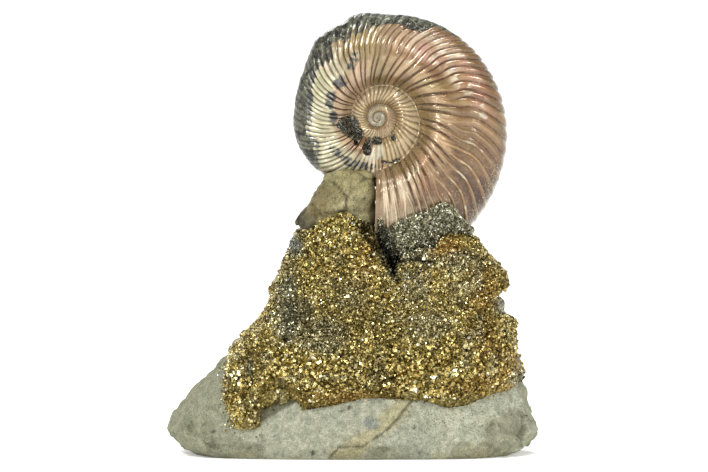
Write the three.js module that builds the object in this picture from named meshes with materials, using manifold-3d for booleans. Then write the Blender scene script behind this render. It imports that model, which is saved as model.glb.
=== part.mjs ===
// A pyritized ammonite standing in its matrix. The coiled, ribbed shell rises out of a block of
// claystone with a sawn foot. Golden pyrite crusts the front and sides of the block, and finer
// silvery pyrite coats the lower end of the shell. Millimetres, +Z up, the front faces -Y, and
// the origin is the middle of the foot.
import * as THREE from "three";
import Module from "manifold-3d";

const wasm = await Module();
wasm.setup();

const DEG = Math.PI / 180;
const FULL_TURN = 2 * Math.PI;

// Touching pieces stay this far apart, and a little more where their facets differ.
const CONTACT_GAP = 0.3;
const FACET_ALLOWANCE = 0.2;

// The shell's coil: a logarithmic spiral in the plane y = SHELL.y. Angles run clockwise as seen
// from the front, from straight up, and the mouth of the shell is straight down.
const SHELL = {
  x: 13,
  y: -1,
  z: 169,
  radiusAtRight: 66.3,
  whorlExpansion: 2.42,
  mouthAngle: 182 * DEG,
};

// Half of the whorl's cross section, from the venter inwards: distance from the coil's axis and
// half width, as shares of the coil's radius there. The next whorl covers the rows before COVER.
// Each row leads or trails the rib that it is on by an angle.
const SECTION = [
  { out: 1, half: 0, lead: 17 * DEG },
  { out: 0.945, half: 0.15, lead: 12.5 * DEG },
  { out: 0.745, half: 0.25, lead: 5 * DEG },
  { out: 0.6, half: 0.28, lead: 1.5 * DEG },
  { out: 0.45, half: 0.27, lead: 0 },
  { out: 0.36, half: 0.2, lead: 2 * DEG },
];
const COVER = 2;
const SECTION_MIDDLE = 0.6;
const THINNEST_HALF = 1.2;
const KNOB_HALF = 1.7;

// The ribs: four steps of the outer turn make one rib that splits in two towards the venter.
// Heights are for each of the four steps, as shares of the crest height, and row by row.
const RIBS = {
  crest: 0.0115,
  split: [-1, 1, -0.4, 1],
  merging: [-1, 0.8, 0.5, 0.8],
  single: [-1, 0.3, 1, 0.3],
};
const RIB_ROWS = [RIBS.split, RIBS.split, RIBS.split, RIBS.merging, RIBS.single, RIBS.single];
const ROW_STRENGTH = [0.6, 1, 1, 1, 0.9, 0.5];
// The ribs straighten over this angle towards the mouth, and towards the fork where the last
// whorl leaves the one before it.
const RIB_STRAIGHTENING = 40 * DEG;
const OUTER_TURN_STEPS = 128;
const ENVELOPE_TURN_STEPS = 48;
const TURNS = 4;

// The claystone block by height: how far it reaches to the left, right, front and back.
const BLOCK = [
  { z: 0, left: -79, right: 79, front: -35, back: 38 },
  { z: 4, left: -86, right: 89, front: -38, back: 41 },
  { z: 12, left: -94, right: 95, front: -40, back: 44 },
  { z: 21, left: -93, right: 91.5, front: -39.5, back: 44 },
  { z: 29, left: -84, right: 88, front: -38.5, back: 43 },
  { z: 40, left: -73, right: 83, front: -36.5, back: 41 },
  { z: 53, left: -59, right: 80, front: -34, back: 39 },
  { z: 66, left: -44.5, right: 77, front: -32, back: 37 },
  { z: 78, left: -39, right: 70, front: -30, back: 36 },
  { z: 89, left: -35, right: 76.5, front: -28, back: 35 },
  { z: 99, left: -31, right: 66, front: -25, back: 34 },
  { z: 107, left: -27, right: 60, front: -22, back: 33 },
  { z: 114, left: -22, right: 53, front: -18, back: 31 },
  { z: 119, left: -16, right: 44, front: -10, back: 26 },
];

// The neck: the claystone that fills the shell's mouth and cups the whorl above it.
const NECK = [
  { z: 98, left: -24, right: 12, front: -18, back: 22 },
  { z: 112.5, left: -22.5, right: 12, front: -20, back: 21 },
  { z: 116, left: -27, right: 12, front: -21.5, back: 21 },
  { z: 123, left: -23.5, right: 12, front: -22, back: 20 },
  { z: 131, left: -19.5, right: 12, front: -21, back: 18 },
  { z: 138, left: -15, right: 12, front: -16.5, back: 15 },
  { z: 144, left: -11.5, right: 12, front: -10.5, back: 10 },
];

// Roundness of a horizontal section: 2 is an ellipse, and more is boxier.
const BLOCK_POWER = 3.1;
const NECK_POWER = 2.6;
const STONE_SIDES = 22;
const STONE_ROUGHNESS = 1.6;
const FOOT_ROUGHNESS = 0.5;
const STONE_GRAIN = 13;

// Breaks that cut flat faces across the block's corners: the way each faces, by its bearing round
// from the right and its tilt up, and how much it takes off the rounded corner.
const BREAKS = [
  { bearing: -128, tilt: 8, depth: 5 },
  { bearing: -150, tilt: 30, depth: 6 },
  { bearing: -50, tilt: -6, depth: 5 },
  { bearing: -32, tilt: 22, depth: 4 },
  { bearing: 38, tilt: 12, depth: 7 },
  { bearing: 62, tilt: 35, depth: 6 },
  { bearing: 112, tilt: 20, depth: 7 },
  { bearing: 128, tilt: -12, depth: 6 },
  { bearing: 148, tilt: 38, depth: 9 },
  { bearing: 92, tilt: 8, depth: 3 },
];

// Bedding ledges step the back of the block in above these heights.
const BACK_LEDGES = [{ z: 30, step: 2.6 }, { z: 62, step: 2 }, { z: 93, step: 3 }];
const LEDGES_BEHIND = 19;

// In front of this depth the block is hollowed where the crust is, and by this much more.
const HOLLOWS_BEFORE = -9;
const HOLLOW_DEPTH = 1.2;

// Cutting shapes run out to here, clear of the part.
const CLEAR = { side: 110, front: -90, back: 90 };

// The golden crust: how far it stands off the block, how deep it reaches where the block falls
// away behind it, its heights and the number of its levels and sides.
const CRUST = {
  standOff: 3,
  deepest: 12,
  foremost: -24,
  lowest: 8,
  highest: 126,
  levels: 25,
  sides: 47,
};
const CRUST_FROM = -202 * DEG;
const CRUST_TO = 22 * DEG;
const CRUST_ROUGHNESS = 1.2;
const CRUST_GRAIN = 9;
const CRUST_FACETING = 1.2;

// The ragged line behind which the crust has broken away from the block's sides.
const CRUST_BACK = { middle: 11, raggedness: 7, grain: 13, levels: 16 };

// The crust's outline from the front, as points (x, z): up its left edge, over the left lobe,
// down the cleft, over the right lobe and back along its lower edge.
const CRUST_OUTLINE = [
  [-59, 15], [-61.5, 23.5], [-64.5, 31], [-63, 43], [-62, 51], [-75, 62], [-60, 104], [-38, 112.6],
  [-24, 113], [-17, 117.5], [-8, 121.5], [-3.5, 122.5], [0.5, 120.5], [9, 115], [21.2, 87.5],
  [22, 96], [25, 101], [34, 104.5], [41, 103], [45, 109.5], [58, 112], [66, 112], [100, 106],
  [100, 40], [84, 35.5], [70.5, 32], [62, 29], [56, 26.5], [47, 25.5], [38, 28.5], [22.5, 30],
  [3, 30], [-10, 27], [-25, 24.5], [-28, 29.3], [-38, 27.5], [-47.5, 22.5], [-45, 17.5], [-48.5, 14.8],
];

// The flat-faced crystals fused to the golden crust: one in each field of a grid that is wrapped
// round it from a lower to an upper share of its height.
const CRYSTALS = {
  columns: 8,
  rows: 5,
  lower: 0.12,
  upper: 0.96,
  jitter: 0.45,
  bearings: 200,
  smallest: 3,
  largest: 4.6,
};

// The claystone opens in front of the shell, just inside the crust's outline.
const WINDOW_OUTLINE = [
  [12, 150], [12, 117], [4, 112], [17, 81], [24, 81], [27, 94], [34, 98], [42, 97], [47, 103],
  [60, 106], [90, 107], [90, 150],
];
const WINDOW_BACK = -9;

// The silvery crust's outline on the front of the shell, its thickness and lumps, the angles it
// spans, and where its skin starts inside the venter and ends inside the whorl.
const SILVER_OUTLINE = [
  [12.7, 120.5], [16.5, 114.5], [19.5, 114.5], [24, 118.5], [36, 122.5], [45, 127], [50, 125],
  [54.5, 119], [60.5, 113], [57, 108.5], [46, 106.5], [41.5, 100], [34, 101.5], [26.5, 98],
  [23.5, 93], [22, 86], [19.5, 87], [12.7, 106],
];
const SILVER = {
  thickness: 1.6,
  roughness: 0.7,
  grain: 4,
  from: 118 * DEG,
  to: 186 * DEG,
  steps: 26,
  rows: 8,
  start: 0.08,
  rootHalf: 0.05,
};
const SILVER_BACK = -10;

// Smooth rises and hollows of the crust's front: centre (x, z), reach and height.
const CRUST_SWELLS = [
  { x: -7, z: 99, reachX: 22, reachZ: 24, height: 6 },
  { x: -29, z: 80, reachX: 8, reachZ: 20, height: -3 },
  { x: -44, z: 50, reachX: 13, reachZ: 20, height: 2.5 },
  { x: 15, z: 50, reachX: 34, reachZ: 18, height: 2.5 },
  { x: 57, z: 82, reachX: 11, reachZ: 14, height: -3 },
  { x: 47, z: 102, reachX: 10, reachZ: 8, height: 2.5 },
  { x: 75, z: 90, reachX: 8, reachZ: 7, height: 3.5 },
  { x: 66, z: 48, reachX: 16, reachZ: 16, height: 3 },
  { x: 30, z: 95, reachX: 10, reachZ: 10, height: -3 },
];

// A repeatable number from -1 to 1 for a whole-numbered place.
function scatter(i, j, k) {
  let n = (i * 374761393 + j * 668265263 + k * 1274126177) | 0;
  n = Math.imul(n ^ (n >>> 13), 1103515245);
  n = Math.imul(n ^ (n >>> 16), 2654435761);
  return ((n ^ (n >>> 15)) >>> 0) / 2147483647.5 - 1;
}

// Smooth noise from -1 to 1 whose lumps are about one grain across.
function noise(p, grain) {
  const [x, y, z] = [p.x / grain, p.y / grain, p.z / grain];
  const [i, j, k] = [Math.floor(x), Math.floor(y), Math.floor(z)];
  const ease = (t) => t * t * (3 - 2 * t);
  const [u, v, w] = [ease(x - i), ease(y - j), ease(z - k)];
  const { lerp } = THREE.MathUtils;
  const along = (dj, dk) => lerp(scatter(i, j + dj, k + dk), scatter(i + 1, j + dj, k + dk), u);
  return lerp(lerp(along(0, 0), along(1, 0), v), lerp(along(0, 1), along(1, 1), v), w);
}

// Points and triangles as a solid for joining and cutting, facing out whichever way it was wound.
function solidOf(points, triangles) {
  const vertProperties = new Float32Array(points.flatMap((p) => [p.x, p.y, p.z]));
  const triVerts = new Uint32Array(triangles);
  const made = new wasm.Manifold(new wasm.Mesh({ numProp: 3, vertProperties, triVerts }));
  if (made.volume() > 0) return made;
  triVerts.reverse();
  return new wasm.Manifold(new wasm.Mesh({ numProp: 3, vertProperties, triVerts }));
}

// A closed solid through rings of equally many points, each end closed by a fan to its middle.
function skinned(rings) {
  const count = rings[0].length;
  const points = rings.flat();
  const triangles = [];
  for (let i = 0; i + 1 < rings.length; i++) {
    for (let j = 0; j < count; j++) {
      const a = i * count + j;
      const b = i * count + ((j + 1) % count);
      triangles.push(a, b, a + count, b, b + count, a + count);
    }
  }
  const middleOf = (ring) => ring.reduce((sum, p) => sum.add(p), new THREE.Vector3()).divideScalar(count);
  const last = (rings.length - 1) * count;
  const start = points.push(middleOf(rings[0])) - 1;
  const end = points.push(middleOf(rings.at(-1))) - 1;
  for (let j = 0; j < count; j++) {
    const next = (j + 1) % count;
    triangles.push(start, next, j);
    triangles.push(end, last + j, last + next);
  }
  return solidOf(points, triangles);
}

// The largest connected body of a solid, without crumbs that a cut leaves behind.
function largestBody(solid) {
  return solid.decompose().reduce((a, b) => (b.volume() > a.volume() ? b : a));
}

function geometryOf(solid) {
  const mesh = solid.getMesh();
  const geometry = new THREE.BufferGeometry();
  geometry.setAttribute("position", new THREE.BufferAttribute(mesh.vertProperties, 3));
  geometry.setIndex(new THREE.BufferAttribute(mesh.triVerts, 1));
  geometry.computeVertexNormals();
  return geometry;
}

// An outline's prism, seen from the front, between two depths.
function frontPrism(outline, nearY, farY) {
  const flat = outline.map(([x, z]) => new THREE.Vector2(x, z));
  if (THREE.ShapeUtils.isClockWise(flat)) flat.reverse();
  const count = flat.length;
  const points = [nearY, farY].flatMap((y) => flat.map((p) => new THREE.Vector3(p.x, y, p.y)));
  const triangles = [];
  for (const [a, b, c] of THREE.ShapeUtils.triangulateShape(flat, [])) {
    triangles.push(a, b, c, a + count, c + count, b + count);
  }
  for (let i = 0; i < count; i++) {
    const next = (i + 1) % count;
    triangles.push(i, i + count, next, next, i + count, next + count);
  }
  return solidOf(points, triangles);
}

// An outline whose points have moved away from its middle.
function widened(outline, length) {
  const middle = [0, 1].map((axis) => outline.reduce((sum, p) => sum + p[axis], 0) / outline.length);
  return outline.map(([x, z]) => {
    const out = new THREE.Vector2(x - middle[0], z - middle[1]).normalize();
    return [x + out.x * length, z + out.y * length];
  });
}

// The shell.

const spiralGrowth = Math.log(SHELL.whorlExpansion) / FULL_TURN;
const coilRadius = (angle) => SHELL.radiusAtRight * Math.exp(spiralGrowth * (angle - Math.PI / 2));

// How much of its lead a rib has at an angle. It has none at the mouth, which is a flat face.
function leadShare(angle) {
  const { smoothstep } = THREE.MathUtils;
  const fromMouth = Math.abs(angle - SHELL.mouthAngle);
  const fromFork = Math.abs(angle - SHELL.mouthAngle + FULL_TURN);
  return smoothstep(fromMouth, 0, RIB_STRAIGHTENING) * smoothstep(fromFork, 0, RIB_STRAIGHTENING);
}

// A point at shares of the whorl's section, pushed out from the section's middle by a length.
function whorlPoint(angle, { out, half, lead }, side, push) {
  const radius = coilRadius(angle);
  const direction = new THREE.Vector2(out - SECTION_MIDDLE, half).normalize();
  const rho = out * radius + direction.x * push;
  const depth = half > 0 ? Math.max(half * radius, THINNEST_HALF) + direction.y * push : 0;
  const turned = angle + lead * leadShare(angle);
  return new THREE.Vector3(
    SHELL.x + rho * Math.sin(turned),
    SHELL.y - side * depth,
    SHELL.z + rho * Math.cos(turned),
  );
}

// The whole shell as one closed surface, its turns joined along the seams. A turn inside another
// has half as many steps, and pushOf says how far each point stands off the plain whorl.
function coil(mouthAngle, outerSteps, pushOf) {
  const points = [];
  const places = new Map();
  const stepsOf = (turn) => outerSteps / 2 ** turn;
  function place(turn, step, row, side) {
    if (turn > 0 && step === stepsOf(turn)) return place(turn - 1, 0, row, side);
    const facing = row === 0 ? 1 : side;
    const key = [turn, step, row, facing].join();
    if (!places.has(key)) {
      const angle = mouthAngle + FULL_TURN * (step / stepsOf(turn) - turn - 1);
      const push = pushOf({ turn, step, row, angle });
      places.set(key, points.push(whorlPoint(angle, SECTION[row], facing, push)) - 1);
    }
    return places.get(key);
  }
  const seam = (turn, step, side) => place(turn + 1, Math.floor(step / 2), COVER, side);
  function flank(turn, step, side) {
    if (turn > 0 && step === stepsOf(turn)) return flank(turn - 1, 0, side);
    const rows = turn > 1 ? [4, 4, 4, COVER] : [5, 4, 3, COVER];
    return [seam(turn, step, side), ...rows.map((row) => place(turn, step, row, side))];
  }
  const crown = (step) => [
    place(0, step, 1, 1),
    place(0, step, 0, 1),
    place(0, step, 1, -1),
  ];

  const triangles = [];
  function addTriangle(a, b, c) {
    if (a !== b && b !== c && c !== a) triangles.push(a, b, c);
  }
  function addStrip(ring, next) {
    for (let j = 0; j + 1 < ring.length; j++) {
      addTriangle(ring[j], ring[j + 1], next[j]);
      addTriangle(ring[j + 1], next[j + 1], next[j]);
    }
  }
  const wholeRing = (step) => [...flank(0, step, 1), ...crown(step), ...flank(0, step, -1).reverse()];
  for (let step = 0; step < outerSteps; step++) {
    addStrip(wholeRing(step), wholeRing(step + 1));
  }
  for (let turn = 1; turn < TURNS; turn++) {
    for (let step = 0; step < stepsOf(turn); step++) {
      addStrip(flank(turn, step, 1), flank(turn, step + 1, 1));
      addStrip(flank(turn, step, -1).reverse(), flank(turn, step + 1, -1).reverse());
    }
  }

  const [frontCover, backCover] = [place(0, 0, COVER, 1), place(0, 0, COVER, -1)];
  const fork = [...Array(5).fill(frontCover), ...crown(0), ...Array(5).fill(backCover)];
  addStrip(wholeRing(outerSteps), fork);

  const inmost = TURNS - 1;
  for (const side of [1, -1]) {
    const knob = new THREE.Vector3(SHELL.x, SHELL.y - side * KNOB_HALF, SHELL.z);
    const centre = points.push(knob) - 1;
    const rim = Array.from({ length: stepsOf(inmost) + 1 }, (_, step) => seam(inmost, step, side));
    const loop = [...rim, ...flank(inmost, 0, side).reverse()];
    for (let j = 0; j + 1 < loop.length; j++) {
      const [a, b] = side > 0 ? [loop[j], loop[j + 1]] : [loop[j + 1], loop[j]];
      addTriangle(centre, a, b);
    }
  }
  return solidOf(points, triangles);
}

function ribPush({ turn, step, row, angle }) {
  if (turn > 2) return 0;
  const share = turn === 0 ? RIB_ROWS[row][step % 4] : 2 * (step % 2) - 1;
  return share * ROW_STRENGTH[row] * RIBS.crest * coilRadius(angle);
}

const makeShell = () => coil(SHELL.mouthAngle, OUTER_TURN_STEPS, ribPush);

// The shell without its grooves and swollen by a length, to cut its neighbours with.
function shellEnvelope(grow) {
  const mouthGap = CONTACT_GAP / (SECTION[COVER].out * coilRadius(SHELL.mouthAngle - FULL_TURN));
  const push = ({ angle }) => RIBS.crest * coilRadius(angle) + FACET_ALLOWANCE + grow;
  return coil(SHELL.mouthAngle + mouthGap, ENVELOPE_TURN_STEPS, push);
}

// The rock.

function levelAt(levels, z) {
  const above = levels.findIndex((level) => level.z >= z);
  if (above === 0) return { ...levels[0], z };
  if (above < 0) return { ...levels.at(-1), z };
  const [low, high] = [levels[above - 1], levels[above]];
  const share = (z - low.z) / (high.z - low.z);
  const { lerp } = THREE.MathUtils;
  const level = { z };
  for (const side of ["left", "right", "front", "back"]) level[side] = lerp(low[side], high[side], share);
  return level;
}

const signedPower = (value, power) => Math.sign(value) * Math.abs(value) ** power;

// A point of a level's rounded-box outline: -90 degrees is the front and 0 the right.
function outlinePoint({ z, left, right, front, back }, angle, power, grow) {
  const across = signedPower(Math.cos(angle), 2 / power);
  const deep = signedPower(Math.sin(angle), 2 / power);
  const depth = deep < 0 ? SHELL.y - front : back - SHELL.y;
  return new THREE.Vector3(
    (left + right) / 2 + across * ((right - left) / 2 + grow),
    SHELL.y + deep * (depth + grow),
    z,
  );
}

// Moves a point of a section straight out from the section's upright axis.
function pushOut(point, { left, right }, length) {
  const out = new THREE.Vector3(point.x - (left + right) / 2, point.y - SHELL.y, 0).normalize();
  return point.addScaledVector(out, length);
}

// Bearings that space points evenly along the outline of the block's middle level.
function evenBearings(from, to, count) {
  const samples = 4000;
  const middle = BLOCK[Math.floor(BLOCK.length / 2)];
  const bearings = [from];
  let length = 0;
  const lengths = [0];
  for (let i = 1; i <= samples; i++) {
    bearings.push(THREE.MathUtils.lerp(from, to, i / samples));
    const [a, b] = bearings.slice(-2).map((bearing) => outlinePoint(middle, bearing, BLOCK_POWER, 0));
    length += a.distanceTo(b);
    lengths.push(length);
  }
  const at = (share) => bearings[lengths.findIndex((reached) => reached >= share * length - 0.001)];
  return Array.from({ length: count + 1 }, (_, i) => at(i / count));
}

const stoneBearings = evenBearings(0, FULL_TURN, STONE_SIDES).slice(0, -1);

// The rings of a rough lump of claystone. Its lowest level is a clean flat cut.
function stoneRings(levels, power) {
  return levels.map((level, i) =>
    stoneBearings.map((angle) => {
      const point = outlinePoint(level, angle, power, 0);
      const roughness = i === 0 ? FOOT_ROUGHNESS : STONE_ROUGHNESS;
      pushOut(point, level, roughness * noise(point, STONE_GRAIN));
      if (i === levels.length - 1) point.z += noise(point, STONE_GRAIN);
      return point;
    }),
  );
}

// The solid through a lump's rings, larger all round and on top by a length.
function swollen(rings, levels, grow) {
  rings.forEach((ring, i) => {
    const { left, right, front, back } = levels[i];
    for (const point of ring) {
      const depth = point.y < SHELL.y ? SHELL.y - front : back - SHELL.y;
      point.x += (grow * (point.x - (left + right) / 2)) / ((right - left) / 2);
      point.y += (grow * (point.y - SHELL.y)) / depth;
      if (i === rings.length - 1) point.z += grow;
    }
  });
  return skinned(rings);
}

// Flattens the rings' corners: whatever stands past a break moves back onto its plane.
function breakCorners(rings) {
  const points = rings.slice(1).flat();
  for (const { bearing, tilt, depth } of BREAKS) {
    const out = new THREE.Vector3().setFromSphericalCoords(1, (90 - tilt) * DEG, (90 + bearing) * DEG);
    const facing = new THREE.Vector3(out.x, -out.z, out.y);
    const reach = Math.max(...points.map((point) => point.dot(facing))) - depth;
    for (const point of points) {
      const past = point.dot(facing) - reach;
      if (past > 0) point.addScaledVector(new THREE.Vector3(facing.x, facing.y, 0), -past);
    }
  }
}

function blockBody(grow) {
  const rings = stoneRings(BLOCK, BLOCK_POWER);
  for (const point of rings.flat()) {
    const ledges = BACK_LEDGES.filter((ledge) => point.z > ledge.z);
    if (point.y > LEDGES_BEHIND) point.y -= ledges.reduce((sum, { step }) => sum + step, 0);
    if (point.y < HOLLOWS_BEFORE) point.y -= HOLLOW_DEPTH * Math.min(0, crustRelief(point));
  }
  breakCorners(rings);
  return swollen(rings, BLOCK, grow);
}

function stoneBody(grow) {
  return blockBody(grow).add(swollen(stoneRings(NECK, NECK_POWER), NECK, grow));
}

function makeStone() {
  const window = frontPrism(WINDOW_OUTLINE, CLEAR.front, WINDOW_BACK);
  return largestBody(stoneBody(0).subtract(window).subtract(shellEnvelope(CONTACT_GAP)));
}

// The silvery crust: a lumpy skin over the front of the last whorl, trimmed to its outline.
function silverSkin(stand, roughness) {
  const rows = SECTION.slice(0, 4).map(({ out, half }) => new THREE.Vector2(out, half));
  const front = new THREE.SplineCurve(rows);
  const rings = [];
  for (let i = 0; i <= SILVER.steps; i++) {
    const angle = THREE.MathUtils.lerp(SILVER.from, SILVER.to, i / SILVER.steps);
    const ring = [];
    for (let j = 0; j < SILVER.rows; j++) {
      const share = THREE.MathUtils.lerp(SILVER.start, 1, j / (SILVER.rows - 1));
      const { x: out, y: half } = front.getPoint(share);
      const plain = whorlPoint(angle, { out, half, lead: 0 }, 1, 0);
      const lump = roughness * noise(plain, SILVER.grain);
      const crest = RIBS.crest * coilRadius(angle) + FACET_ALLOWANCE + CONTACT_GAP;
      ring.push(whorlPoint(angle, { out, half, lead: 0 }, 1, crest + stand + lump));
    }
    ring.push(whorlPoint(angle, { out: SECTION_MIDDLE, half: SILVER.rootHalf, lead: 0 }, 1, 0));
    rings.push(ring);
  }
  return skinned(rings);
}

function makeSilver() {
  const outline = frontPrism(SILVER_OUTLINE, CLEAR.front, SILVER_BACK);
  const lumpy = silverSkin(SILVER.thickness, SILVER.roughness);
  return largestBody(lumpy.intersect(outline).subtract(shellEnvelope(CONTACT_GAP)));
}

// The space that the silvery crust needs.
function silverRoom() {
  const outline = widened(SILVER_OUTLINE, 3 * CONTACT_GAP);
  const stand = SILVER.thickness + SILVER.roughness + CONTACT_GAP;
  return silverSkin(stand, 0).intersect(frontPrism(outline, CLEAR.front, SILVER_BACK + CONTACT_GAP));
}

// The golden crust.

// The swells and hollows of the crust, which only shape its front.
function crustRelief(point) {
  return CRUST_SWELLS.reduce((sum, swell) => {
    const across = (point.x - swell.x) / swell.reachX;
    const up = (point.z - swell.z) / swell.reachZ;
    return sum + swell.height * Math.exp(-across * across - up * up);
  }, 0);
}

// A point of the crust's outer face by its direction and height.
function crustPoint(angle, z) {
  const level = levelAt(BLOCK, z);
  level.front = Math.min(level.front, CRUST.foremost);
  const point = outlinePoint(level, angle, BLOCK_POWER, CRUST.standOff);
  point.y -= Math.sqrt(Math.max(0, -Math.sin(angle))) * crustRelief(point);
  const facet = CRUST_FACETING * scatter(Math.round(point.x), Math.round(point.y), Math.round(z));
  return pushOut(point, level, CRUST_ROUGHNESS * noise(point, CRUST_GRAIN) + facet);
}

const crustHeight = (share) => THREE.MathUtils.lerp(CRUST.lowest, CRUST.highest, share);

// The crust's outer face runs from behind the left side round the front to behind the right side.
function crustHull() {
  const behind = evenBearings(CRUST_TO, CRUST_FROM + FULL_TURN, 6).slice(1, -1);
  const angles = [...evenBearings(CRUST_FROM, CRUST_TO, CRUST.sides), ...behind];
  const heights = Array.from({ length: CRUST.levels }, (_, i) => crustHeight(i / (CRUST.levels - 1)));
  return skinned(heights.map((z) => angles.map((angle) => crustPoint(angle, z))));
}

// The crust is hollow: nothing of it is left this deep inside its outer face.
function crustCore() {
  const levels = [0, 0.2, 0.4, 0.6, 0.8, 1].map((share) => levelAt(BLOCK, crustHeight(share)));
  return skinned(
    levels.map((level) => {
      level.front = Math.min(level.front, CRUST.foremost);
      return stoneBearings.map((angle) =>
        outlinePoint(level, angle, BLOCK_POWER, CRUST.standOff - CRUST.deepest),
      );
    }),
  );
}

// Everything behind the crust's ragged back edge.
function behindCrust() {
  const { middle, raggedness, grain, levels } = CRUST_BACK;
  const corner = (side, y, z) => new THREE.Vector3(side * CLEAR.side, y, z);
  const edge = (side, z) => middle + raggedness * noise(corner(side, 0, z), grain);
  const heights = Array.from({ length: levels + 1 }, (_, i) => crustHeight(i / levels));
  heights[0] -= CRUST.standOff;
  heights[levels] += CRUST.standOff;
  return skinned(
    heights.map((z) => [
      corner(-1, edge(-1, z), z),
      corner(1, edge(1, z), z),
      corner(1, CLEAR.back, z),
      corner(-1, CLEAR.back, z),
    ]),
  );
}

// A pyrite cube, turned any way, half sunk into the crust.
function crystal(angle, z, seed) {
  const size = THREE.MathUtils.mapLinear(scatter(seed, 5, 1), -1, 1, CRYSTALS.smallest, CRYSTALS.largest);
  const turn = new THREE.Euler(...[6, 7, 8].map((axis) => Math.PI * scatter(seed, axis, 1)));
  const middle = crustPoint(angle, z);
  const corners = [0, 1, 2, 3, 4, 5, 6, 7].map((i) =>
    new THREE.Vector3((i & 1) - 0.5, ((i >> 1) & 1) - 0.5, (i >> 2) - 0.5)
      .multiplyScalar(size)
      .applyEuler(turn)
      .add(middle),
  );
  const quads = [[0, 2, 3, 1], [4, 5, 7, 6], [0, 1, 5, 4], [2, 6, 7, 3], [0, 4, 6, 2], [1, 3, 7, 5]];
  return solidOf(corners, quads.flatMap(([a, b, c, d]) => [a, b, c, a, c, d]));
}

function addCrystals(hull) {
  const { columns, rows, lower, upper, jitter } = CRYSTALS;
  let grown = hull;
  const bearings = evenBearings(CRUST_FROM, CRUST_TO, CRYSTALS.bearings);
  for (let column = 0; column < columns; column++) {
    for (let row = 0; row < rows; row++) {
      const seed = column * rows + row;
      const around = (column + 0.5 + jitter * scatter(seed, 1, 1)) / columns;
      const up = (row + 0.5 + jitter * scatter(seed, 2, 1)) / rows;
      const z = crustHeight(THREE.MathUtils.lerp(lower, upper, up));
      grown = grown.add(crystal(bearings[Math.floor(CRYSTALS.bearings * around)], z, seed));
    }
  }
  return grown;
}

function makeGold() {
  const rim = frontPrism(CRUST_OUTLINE, CLEAR.front, CLEAR.back);
  const whole = addCrystals(crustHull()).intersect(rim).subtract(crustCore()).subtract(behindCrust());
  const besideStone = whole.subtract(stoneBody(1.5 * CONTACT_GAP));
  return largestBody(besideStone.subtract(shellEnvelope(2 * CONTACT_GAP)).subtract(silverRoom()));
}

function piece(name, solid, color, roughness, metalness) {
  const material = new THREE.MeshStandardMaterial({ color, roughness, metalness });
  const mesh = new THREE.Mesh(geometryOf(solid), material);
  mesh.name = name;
  return mesh;
}

const specimen = new THREE.Group();
specimen.add(
  piece("claystone_matrix", makeStone(), 0xa9aa98, 0.95, 0),
  piece("gold_pyrite_crust", makeGold(), 0x9c8136, 0.35, 0.9),
  piece("silver_pyrite_crust", makeSilver(), 0x7d8278, 0.35, 0.9),
  piece("ammonite_shell", makeShell(), 0xa88a6c, 0.3, 0.4),
);

export default specimen;
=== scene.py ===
"""Dresses the pyritized ammonite: a nacreous ribbed shell, claystone, and two pyrite druses.

Lengths are millimetres up to the moment a mesh is made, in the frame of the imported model:
+X right, +Z up, and the front faces -Y. Places on the front are given as (x, z).
"""
import math

import bpy
import numpy as np
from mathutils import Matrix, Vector
from mathutils.bvhtree import BVHTree


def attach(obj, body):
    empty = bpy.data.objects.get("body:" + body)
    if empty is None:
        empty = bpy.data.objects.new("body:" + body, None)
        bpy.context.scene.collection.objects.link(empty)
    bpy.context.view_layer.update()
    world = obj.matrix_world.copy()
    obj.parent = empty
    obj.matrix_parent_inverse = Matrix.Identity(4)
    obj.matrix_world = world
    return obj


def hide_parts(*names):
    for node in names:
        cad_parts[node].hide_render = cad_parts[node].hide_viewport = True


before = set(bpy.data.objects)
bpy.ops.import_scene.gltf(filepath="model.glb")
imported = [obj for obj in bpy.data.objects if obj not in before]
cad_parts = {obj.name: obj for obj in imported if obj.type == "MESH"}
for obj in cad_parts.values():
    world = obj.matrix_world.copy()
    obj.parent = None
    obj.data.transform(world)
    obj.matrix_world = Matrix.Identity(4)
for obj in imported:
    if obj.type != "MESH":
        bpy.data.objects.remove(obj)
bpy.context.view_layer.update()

MM = 0.001
TURN = 2 * math.pi
RNG = np.random.default_rng(1875)

# The photograph's frame: its scale, and where its middle column and the floor's line are.
PHOTO_MM_PER_PIXEL = 0.5
PHOTO_SIZE = (708, 472)
PHOTO_MIDDLE_X = 352.5
PHOTO_FLOOR_Y = 456


# Numbers


def eased(value, low, high):
    """0 below low, 1 above high, and smooth between."""
    t = np.clip((value - low) / (high - low), 0, 1)
    return t * t * (3 - 2 * t)


def hashed(i, j, k, seed):
    """A repeatable number from 0 to 1 for each whole-numbered place."""
    n = (i * 374761393 + j * 668265263 + k * 2246822519 + seed * 144665) & 0xFFFFFFFF
    n = ((n ^ (n >> 13)) * 1274126177) & 0xFFFFFFFF
    n = ((n ^ (n >> 16)) * 2246822519) & 0xFFFFFFFF
    return (n ^ (n >> 15)) / 0xFFFFFFFF


def noise(points, grain, seed):
    """Smooth noise from -1 to 1 whose lumps are about one grain across."""
    place = points / grain
    cell = np.floor(place).astype(np.int64)
    u, v, w = eased(place - cell, 0, 1).T
    i, j, k = cell.T
    total = 0
    for di, wi in ((0, 1 - u), (1, u)):
        for dj, wj in ((0, 1 - v), (1, v)):
            for dk, wk in ((0, 1 - w), (1, w)):
                total = total + wi * wj * wk * hashed(i + di, j + dj, k + dk, seed)
    return 2 * total - 1


def rough(points, grain, seed):
    """Noise with finer noise on it, each octave half as coarse and half as high."""
    return sum(noise(points, grain / 2**o, seed + o) / 2**o for o in range(3))


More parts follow.
